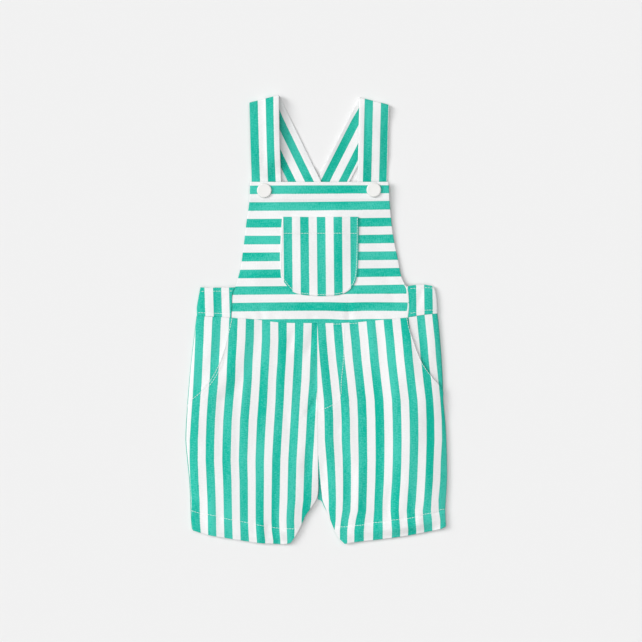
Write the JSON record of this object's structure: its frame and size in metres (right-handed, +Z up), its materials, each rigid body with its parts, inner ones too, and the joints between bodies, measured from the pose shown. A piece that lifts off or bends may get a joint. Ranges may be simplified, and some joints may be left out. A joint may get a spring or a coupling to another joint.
{
  "type": "baby's short bib overalls, laid flat",
  "caption": "Baby's short bib overalls in striped cotton, laid flat, with crossed back straps, a bib patch pocket, slash pockets and buttoned straps.",
  "frame": {"origin": "on the table, under the middle of the laid-out garment", "axes": "+Y up to the shoulders, +X to the right seen from above, +Z up off the table"},
  "size_m": [0.2756, 0.4714, 0.0092],
  "materials": {
    "striped_cloth": "matt cotton twill, woven in green and white stripes",
    "button": "smooth ivory"
  },
  "bodies": {
    "root": {"back_leg_left": "striped_cloth", "back_leg_right": "striped_cloth", "back_waistband": "striped_cloth", "hip_panel_left": "striped_cloth", "hip_panel_right": "striped_cloth", "front_leg_left": "striped_cloth", "front_leg_right": "striped_cloth", "waistband_left": "striped_cloth", "waistband_right": "striped_cloth", "bib": "striped_cloth", "bib_pocket": "striped_cloth", "strap_left": "striped_cloth", "strap_right": "striped_cloth", "button_left": "button", "button_right": "button"}
  },
  "joints": []
}
